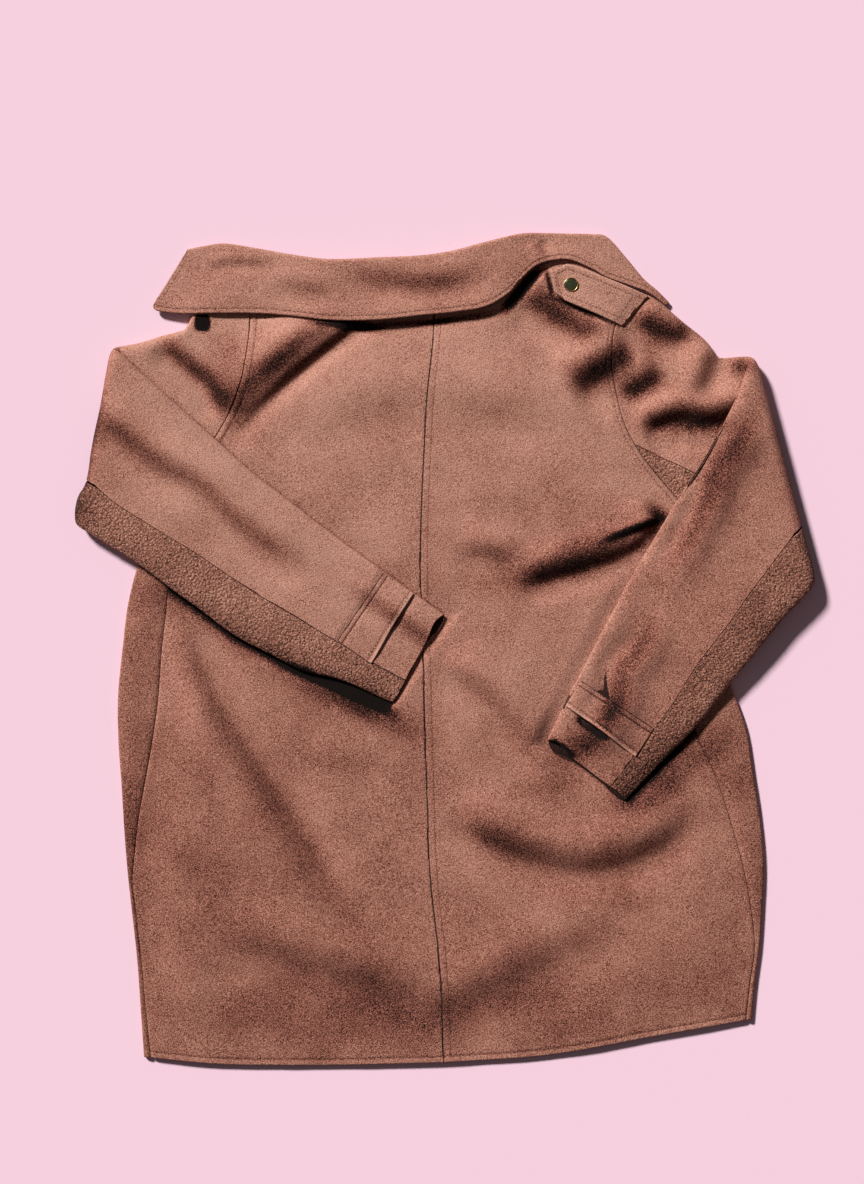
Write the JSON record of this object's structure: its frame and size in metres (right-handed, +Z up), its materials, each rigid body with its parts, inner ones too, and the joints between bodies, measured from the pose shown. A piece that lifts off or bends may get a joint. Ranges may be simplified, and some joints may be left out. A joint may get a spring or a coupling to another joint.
{
  "type": "cloth coat laid flat on its front",
  "caption": "Collared coat of suede cloth, laid flat with its back up and both sleeves folded over the back.",
  "frame": {"origin": "on the surface that the coat lies on, under the middle of its outline", "axes": "+X to the picture's right across the back, +Y from the hem towards the collar, +Z up from the surface"},
  "size_m": [0.8208, 0.9209, 0.024],
  "materials": {
    "suede": "brushed faux suede with a soft mottled nap",
    "rough_suede": "rough, speckled faux suede",
    "brass": "dull brass",
    "snap_cap": "dark olive enamel, plain"
  },
  "bodies": {
    "root": {"back_left": "suede", "back_right": "suede", "front_left": "suede", "front_right": "suede", "sleeve_upper_left": "suede", "sleeve_upper_right": "suede", "sleeve_under_left": "rough_suede", "sleeve_under_right": "rough_suede", "cuff_tab_left": "suede", "cuff_tab_right": "suede", "collar_fall": "suede", "collar_stand": "suede", "epaulette_right": "suede", "snap_ring": "brass", "snap_cap": "snap_cap"}
  },
  "joints": []
}
